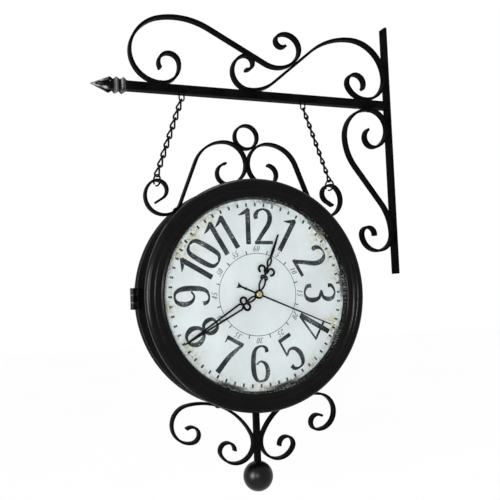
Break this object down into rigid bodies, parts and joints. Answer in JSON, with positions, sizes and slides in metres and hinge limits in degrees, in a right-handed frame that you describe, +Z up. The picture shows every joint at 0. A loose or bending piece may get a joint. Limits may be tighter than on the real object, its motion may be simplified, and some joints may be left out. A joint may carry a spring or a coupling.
{
  "type": "double-sided wall clock",
  "caption": "Round double-sided clock in a black drum case, hung by two chains from a scrolled iron wall bracket with a spear-ended arm; the rear bezel opens as a door.",
  "frame": {"origin": "on the wall face of the bracket's bar, midway between the two wall screw holes", "axes": "+X into the wall, the arm reaches along -X; the front dial faces -Y; +Z up"},
  "size_m": [0.3451, 0.0586, 0.5121],
  "materials": {
    "black_iron": "soft satin black paint on iron",
    "worn_iron": "black with pewter rubbed edges",
    "chain_black": "blackened wire",
    "ring_black": "gloss black",
    "dial_face": "printed aged card",
    "clear_glass": "clear flat glass",
    "hand_black": "black stamped sheet",
    "brass_trim": "turned brass",
    "tube_brass": "drawn brass",
    "movement_plastic": "black moulded plastic",
    "cell_can": "plain can",
    "washer_rubber": "soft rubber",
    "plain_steel": "bright steel"
  },
  "bodies": {
    "bracket": {"wall_bar": "black_iron", "arm_bar": "black_iron", "spear_finial": "worn_iron", "long_scroll": "black_iron", "crest_scroll": "black_iron", "brace_scroll": "black_iron", "scroll_rivets": "black_iron", "arm_eyes": "chain_black"},
    "left_chain": {"left_chain_links": "chain_black", "left_hook_ring": "chain_black"},
    "right_chain": {"right_chain_links": "chain_black", "right_hook_ring": "chain_black"},
    "front_minute": {"front_minute_hand": "hand_black", "front_minute_arbor": "tube_brass"},
    "front_hour": {"front_hour_hand": "hand_black", "front_hour_tube": "tube_brass"},
    "front_second": {"front_second_hand": "hand_black", "front_second_pin": "brass_trim"},
    "front_knob": {"front_setting_knob": "movement_plastic"},
    "rear_minute": {"rear_minute_hand": "hand_black", "rear_minute_arbor": "tube_brass"},
    "rear_hour": {"rear_hour_hand": "hand_black", "rear_hour_tube": "tube_brass"},
    "rear_second": {"rear_second_hand": "hand_black", "rear_second_pin": "brass_trim"},
    "rear_knob": {"rear_setting_knob": "movement_plastic"},
    "rear_door": {"hinge_door_leaf": "black_iron", "rear_battery_cell": "cell_can", "rear_bezel": "black_iron", "rear_bush_nut": "brass_trim", "rear_dial": "dial_face", "rear_dial_washer": "washer_rubber", "rear_glass": "clear_glass", "rear_inner_ring": "ring_black", "rear_movement": "movement_plastic"},
    "clock": {"ball_finial": "black_iron", "bottom_stem": "black_iron", "case_drum": "black_iron", "case_rivets": "black_iron", "door_catch": "plain_steel", "front_battery_cell": "cell_can", "front_bezel": "black_iron", "front_bush_nut": "brass_trim", "front_dial": "dial_face", "front_dial_washer": "washer_rubber", "front_glass": "clear_glass", "front_inner_ring": "ring_black", "front_movement": "movement_plastic", "hanger_ring": "black_iron", "hinge_case_leaf": "black_iron", "hinge_pin": "plain_steel", "left_hanger_scroll": "black_iron", "left_lower_scroll": "black_iron", "right_hanger_scroll": "black_iron", "right_lower_scroll": "black_iron"}
  },
  "joints": [
    {"name": "left_chain_swing", "type": "hinge", "parent": "bracket", "child": "left_chain", "pos_m": [-0.25187, 0, 0.03865], "axis": [1, 0, 0], "range_deg": [-20, 20]},
    {"name": "right_chain_swing", "type": "hinge", "parent": "bracket", "child": "right_chain", "pos_m": [-0.11013, 0, 0.03865], "axis": [1, 0, 0], "range_deg": [-20, 20]},
    {"name": "clock_tilt", "type": "hinge", "parent": "left_chain", "child": "clock", "pos_m": [-0.27982, 0, -0.04611], "axis": [1, 0, 0], "range_deg": [-15, 15]},
    {"name": "rear_door_hinge", "type": "hinge", "parent": "clock", "child": "rear_door", "pos_m": [-0.30355, 0.01708, -0.166], "axis": [0, 0, 1], "range_deg": [0, 110]},
    {"name": "front_minute_turn", "type": "hinge", "parent": "clock", "child": "front_minute", "pos_m": [-0.181, 0, -0.166], "axis": [0, 1, 0], "continuous": true},
    {"name": "front_hour_turn", "type": "hinge", "parent": "clock", "child": "front_hour", "pos_m": [-0.181, 0, -0.166], "axis": [0, 1, 0], "continuous": true},
    {"name": "front_second_turn", "type": "hinge", "parent": "clock", "child": "front_second", "pos_m": [-0.181, 0, -0.166], "axis": [0, 1, 0], "continuous": true},
    {"name": "front_knob_turn", "type": "hinge", "parent": "clock", "child": "front_knob", "pos_m": [-0.17, 0, -0.155], "axis": [0, 1, 0], "continuous": true},
    {"name": "rear_minute_turn", "type": "hinge", "parent": "rear_door", "child": "rear_minute", "pos_m": [-0.181, 0, -0.166], "axis": [0, -1, 0], "continuous": true},
    {"name": "rear_hour_turn", "type": "hinge", "parent": "rear_door", "child": "rear_hour", "pos_m": [-0.181, 0, -0.166], "axis": [0, -1, 0], "continuous": true},
    {"name": "rear_second_turn", "type": "hinge", "parent": "rear_door", "child": "rear_second", "pos_m": [-0.181, 0, -0.166], "axis": [0, -1, 0], "continuous": true},
    {"name": "rear_knob_turn", "type": "hinge", "parent": "rear_door", "child": "rear_knob", "pos_m": [-0.192, 0, -0.155], "axis": [0, -1, 0], "continuous": true}
  ],
  "couplings": [
    {"joint": "right_chain_swing", "follows": "left_chain_swing", "ratio": 1},
    {"joint": "front_hour_turn", "follows": "front_minute_turn", "ratio": 0.083333},
    {"joint": "front_knob_turn", "follows": "front_minute_turn", "ratio": -0.33333},
    {"joint": "rear_hour_turn", "follows": "rear_minute_turn", "ratio": 0.083333},
    {"joint": "rear_knob_turn", "follows": "rear_minute_turn", "ratio": -0.33333}
  ]
}
